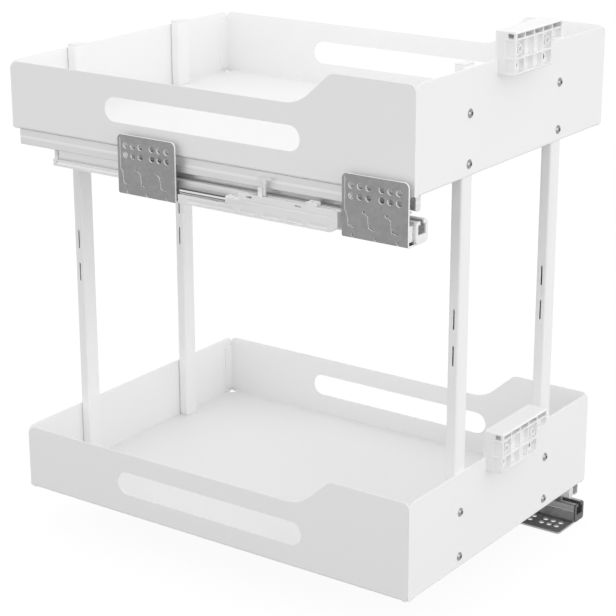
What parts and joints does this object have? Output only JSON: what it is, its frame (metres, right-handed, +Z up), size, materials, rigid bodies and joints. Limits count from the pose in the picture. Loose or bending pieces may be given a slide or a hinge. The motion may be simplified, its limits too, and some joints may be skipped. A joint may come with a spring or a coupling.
{
  "type": "pull out cabinet basket",
  "caption": "Tiered pull-out basket for a narrow base cabinet: folded white steel trays on tubular posts, running on ball-bearing slides with wall and floor brackets",
  "frame": {"origin": "on the cabinet's left wall, in the middle of the front wall bracket's hole pattern, level with the underside of the upper tray", "axes": "+X to the right, away from the wall; +Y to the back of the cabinet, so the basket pulls out along -Y; +Z up"},
  "size_m": [0.3643, 0.495, 0.559],
  "materials": {
    "white_paint": "satin powder coat",
    "white_plastic": "moulded, lightly textured",
    "galvanised": "zinc plated sheet, matt",
    "light_zinc": "zinc plated, bright and smooth",
    "dark_zinc": "zinc plated, dull",
    "dark_plastic": "moulded, lightly textured",
    "bright_steel": "rolled, lightly oiled",
    "ball_steel": "polished",
    "screw_steel": "dark zinc",
    "damper_metal": "satin"
  },
  "bodies": {
    "cabinet_side": {"wall_bracket_front": "galvanised", "wall_bracket_rear": "galvanised", "floor_bracket_front": "dark_zinc", "floor_bracket_rear": "dark_zinc", "rail_clamps": "galvanised", "rail_rivets": "bright_steel", "upper_cabinet_rail": "light_zinc", "lower_cabinet_rail": "dark_zinc", "upper_rail_cap": "white_plastic", "lower_rail_cap": "dark_plastic", "upper_closer_housing": "white_plastic", "lower_closer_housing": "white_plastic", "upper_closer_catch": "white_plastic", "lower_closer_catch": "white_plastic", "upper_closer_damper": "damper_metal", "lower_closer_damper": "damper_metal"},
    "basket": {"upper_tray": "white_paint", "lower_tray": "white_paint", "post_front_left": "white_paint", "post_front_right": "white_paint", "post_rear_left": "white_paint", "post_rear_right": "white_paint", "post_caps": "white_plastic", "post_feet": "white_plastic", "front_screws": "screw_steel", "rear_screws": "screw_steel", "fixing_screws": "screw_steel", "upper_front_fixing": "white_plastic", "lower_front_fixing": "white_plastic", "upper_drawer_rail": "light_zinc", "lower_drawer_rail": "light_zinc"},
    "upper_middle": {"upper_middle_rail": "bright_steel", "upper_middle_stop": "white_plastic"},
    "upper_outer_race": {"upper_outer_cage": "dark_zinc", "upper_outer_balls": "ball_steel"},
    "upper_inner_race": {"upper_inner_cage": "dark_zinc", "upper_inner_balls": "ball_steel"},
    "lower_middle": {"lower_middle_rail": "bright_steel", "lower_middle_stop": "white_plastic"},
    "lower_outer_race": {"lower_outer_cage": "dark_zinc", "lower_outer_balls": "ball_steel"},
    "lower_inner_race": {"lower_inner_cage": "dark_zinc", "lower_inner_balls": "ball_steel"}
  },
  "joints": [
    {"name": "basket_slide", "type": "slide", "parent": "cabinet_side", "child": "basket", "axis": [0, -1, 0], "range_m": [0, 0.43]},
    {"name": "upper_middle_slide", "type": "slide", "parent": "cabinet_side", "child": "upper_middle", "axis": [0, -1, 0], "range_m": [0, 0.215]},
    {"name": "upper_outer_race_slide", "type": "slide", "parent": "cabinet_side", "child": "upper_outer_race", "axis": [0, -1, 0], "range_m": [0, 0.1075]},
    {"name": "upper_inner_race_slide", "type": "slide", "parent": "cabinet_side", "child": "upper_inner_race", "axis": [0, -1, 0], "range_m": [0, 0.3225]},
    {"name": "lower_middle_slide", "type": "slide", "parent": "cabinet_side", "child": "lower_middle", "axis": [0, -1, 0], "range_m": [0, 0.215]},
    {"name": "lower_outer_race_slide", "type": "slide", "parent": "cabinet_side", "child": "lower_outer_race", "axis": [0, -1, 0], "range_m": [0, 0.1075]},
    {"name": "lower_inner_race_slide", "type": "slide", "parent": "cabinet_side", "child": "lower_inner_race", "axis": [0, -1, 0], "range_m": [0, 0.3225]}
  ],
  "couplings": [
    {"joint": "upper_middle_slide", "follows": "basket_slide", "ratio": 0.5},
    {"joint": "upper_outer_race_slide", "follows": "basket_slide", "ratio": 0.25},
    {"joint": "upper_inner_race_slide", "follows": "basket_slide", "ratio": 0.75},
    {"joint": "lower_middle_slide", "follows": "basket_slide", "ratio": 0.5},
    {"joint": "lower_outer_race_slide", "follows": "basket_slide", "ratio": 0.25},
    {"joint": "lower_inner_race_slide", "follows": "basket_slide", "ratio": 0.75}
  ]
}
